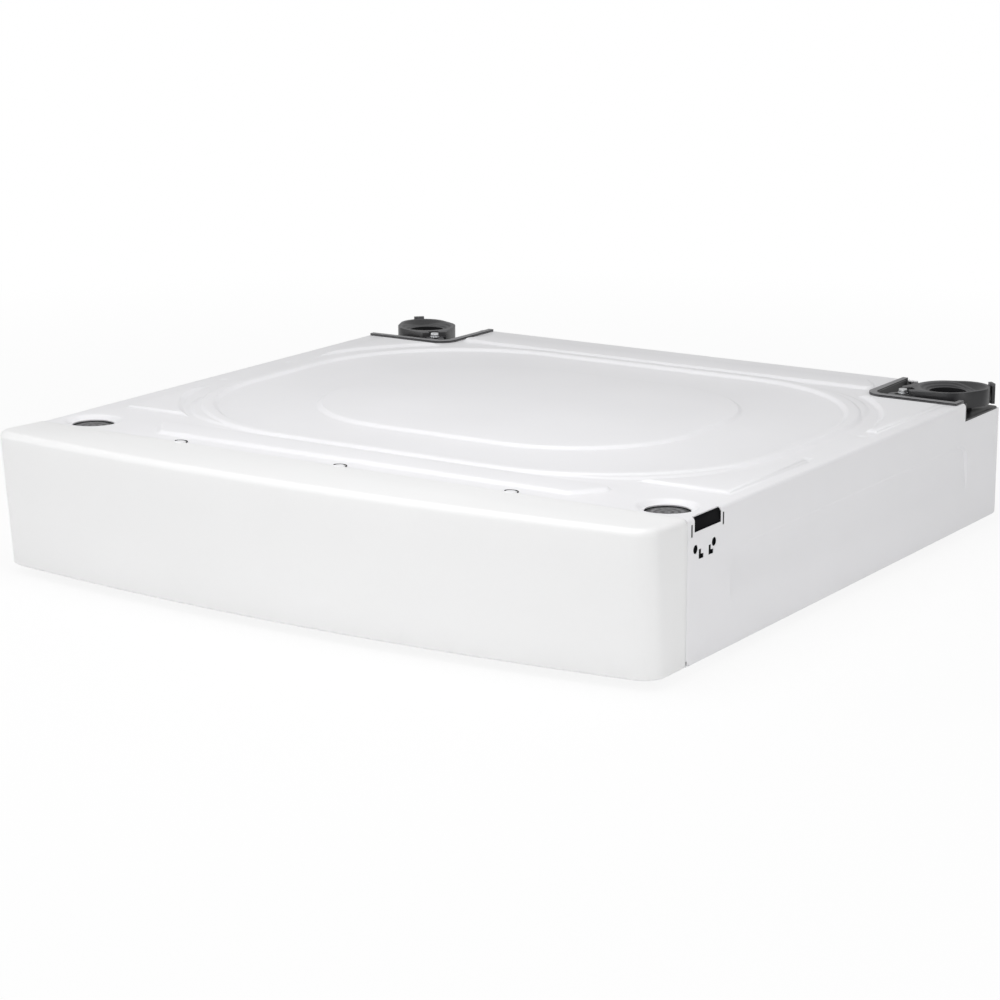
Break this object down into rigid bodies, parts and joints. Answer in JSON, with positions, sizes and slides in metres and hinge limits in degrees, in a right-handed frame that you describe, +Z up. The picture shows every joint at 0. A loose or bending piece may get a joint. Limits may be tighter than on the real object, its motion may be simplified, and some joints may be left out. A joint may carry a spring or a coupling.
{
  "type": "laundry pedestal",
  "caption": "Low white steel riser for a laundry machine: stamped deck, bowed front cover, black retainers for the machine's feet and levelling feet below.",
  "frame": {"origin": "on the floor under the middle of the whole footprint", "axes": "+Z up, -Y towards the bowed front cover, +X to the right seen from the front"},
  "size_m": [0.711, 0.73, 0.1426],
  "materials": {
    "white_steel": "satin",
    "white_cover": "satin",
    "zinc_steel": "zinc",
    "black_plastic": "satin",
    "grey_pad": "matte",
    "foot_rubber": "matte"
  },
  "bodies": {
    "cabinet": {"deck_panel": "white_steel", "rear_panel": "white_steel", "left_side_panel": "white_steel", "right_side_panel": "white_steel", "fascia_screws": "white_steel", "front_fascia": "white_cover", "front_rail": "zinc_steel", "front_stiffener": "zinc_steel", "rear_stiffener": "zinc_steel", "rear_cup_bolts": "zinc_steel", "rear_cup_washers": "zinc_steel", "rear_cup_nuts": "zinc_steel", "leg_weld_nuts": "zinc_steel", "foot_lock_nuts": "zinc_steel", "left_front_leg": "zinc_steel", "right_front_leg": "zinc_steel", "left_rear_leg": "zinc_steel", "right_rear_leg": "zinc_steel", "left_front_foot_cup": "black_plastic", "left_rear_tray": "black_plastic", "right_front_foot_cup": "black_plastic", "right_rear_tray": "black_plastic", "left_front_cup_pad": "grey_pad", "right_front_cup_pad": "grey_pad"},
    "left_front_foot": {"left_front_levelling_foot": "zinc_steel", "left_front_foot_pad": "foot_rubber"},
    "right_front_foot": {"right_front_levelling_foot": "zinc_steel", "right_front_foot_pad": "foot_rubber"},
    "left_rear_foot": {"left_rear_levelling_foot": "zinc_steel", "left_rear_foot_pad": "foot_rubber"},
    "right_rear_foot": {"right_rear_levelling_foot": "zinc_steel", "right_rear_foot_pad": "foot_rubber"},
    "left_rear_cup": {"left_rear_foot_cup": "black_plastic"},
    "right_rear_cup": {"right_rear_foot_cup": "black_plastic"}
  },
  "joints": [
    {"name": "left_front_foot_screw", "type": "slide", "parent": "cabinet", "child": "left_front_foot", "axis": [0, 0, -1], "range_m": [0, 0.012]},
    {"name": "right_front_foot_screw", "type": "slide", "parent": "cabinet", "child": "right_front_foot", "axis": [0, 0, -1], "range_m": [0, 0.012]},
    {"name": "left_rear_foot_screw", "type": "slide", "parent": "cabinet", "child": "left_rear_foot", "axis": [0, 0, -1], "range_m": [0, 0.012]},
    {"name": "right_rear_foot_screw", "type": "slide", "parent": "cabinet", "child": "right_rear_foot", "axis": [0, 0, -1], "range_m": [0, 0.012]},
    {"name": "left_rear_cup_slide", "type": "slide", "parent": "cabinet", "child": "left_rear_cup", "axis": [0.7071, -0.7071, 0], "range_m": [-0.006, 0.006]},
    {"name": "right_rear_cup_slide", "type": "slide", "parent": "cabinet", "child": "right_rear_cup", "axis": [-0.7071, -0.7071, 0], "range_m": [-0.006, 0.006]}
  ]
}
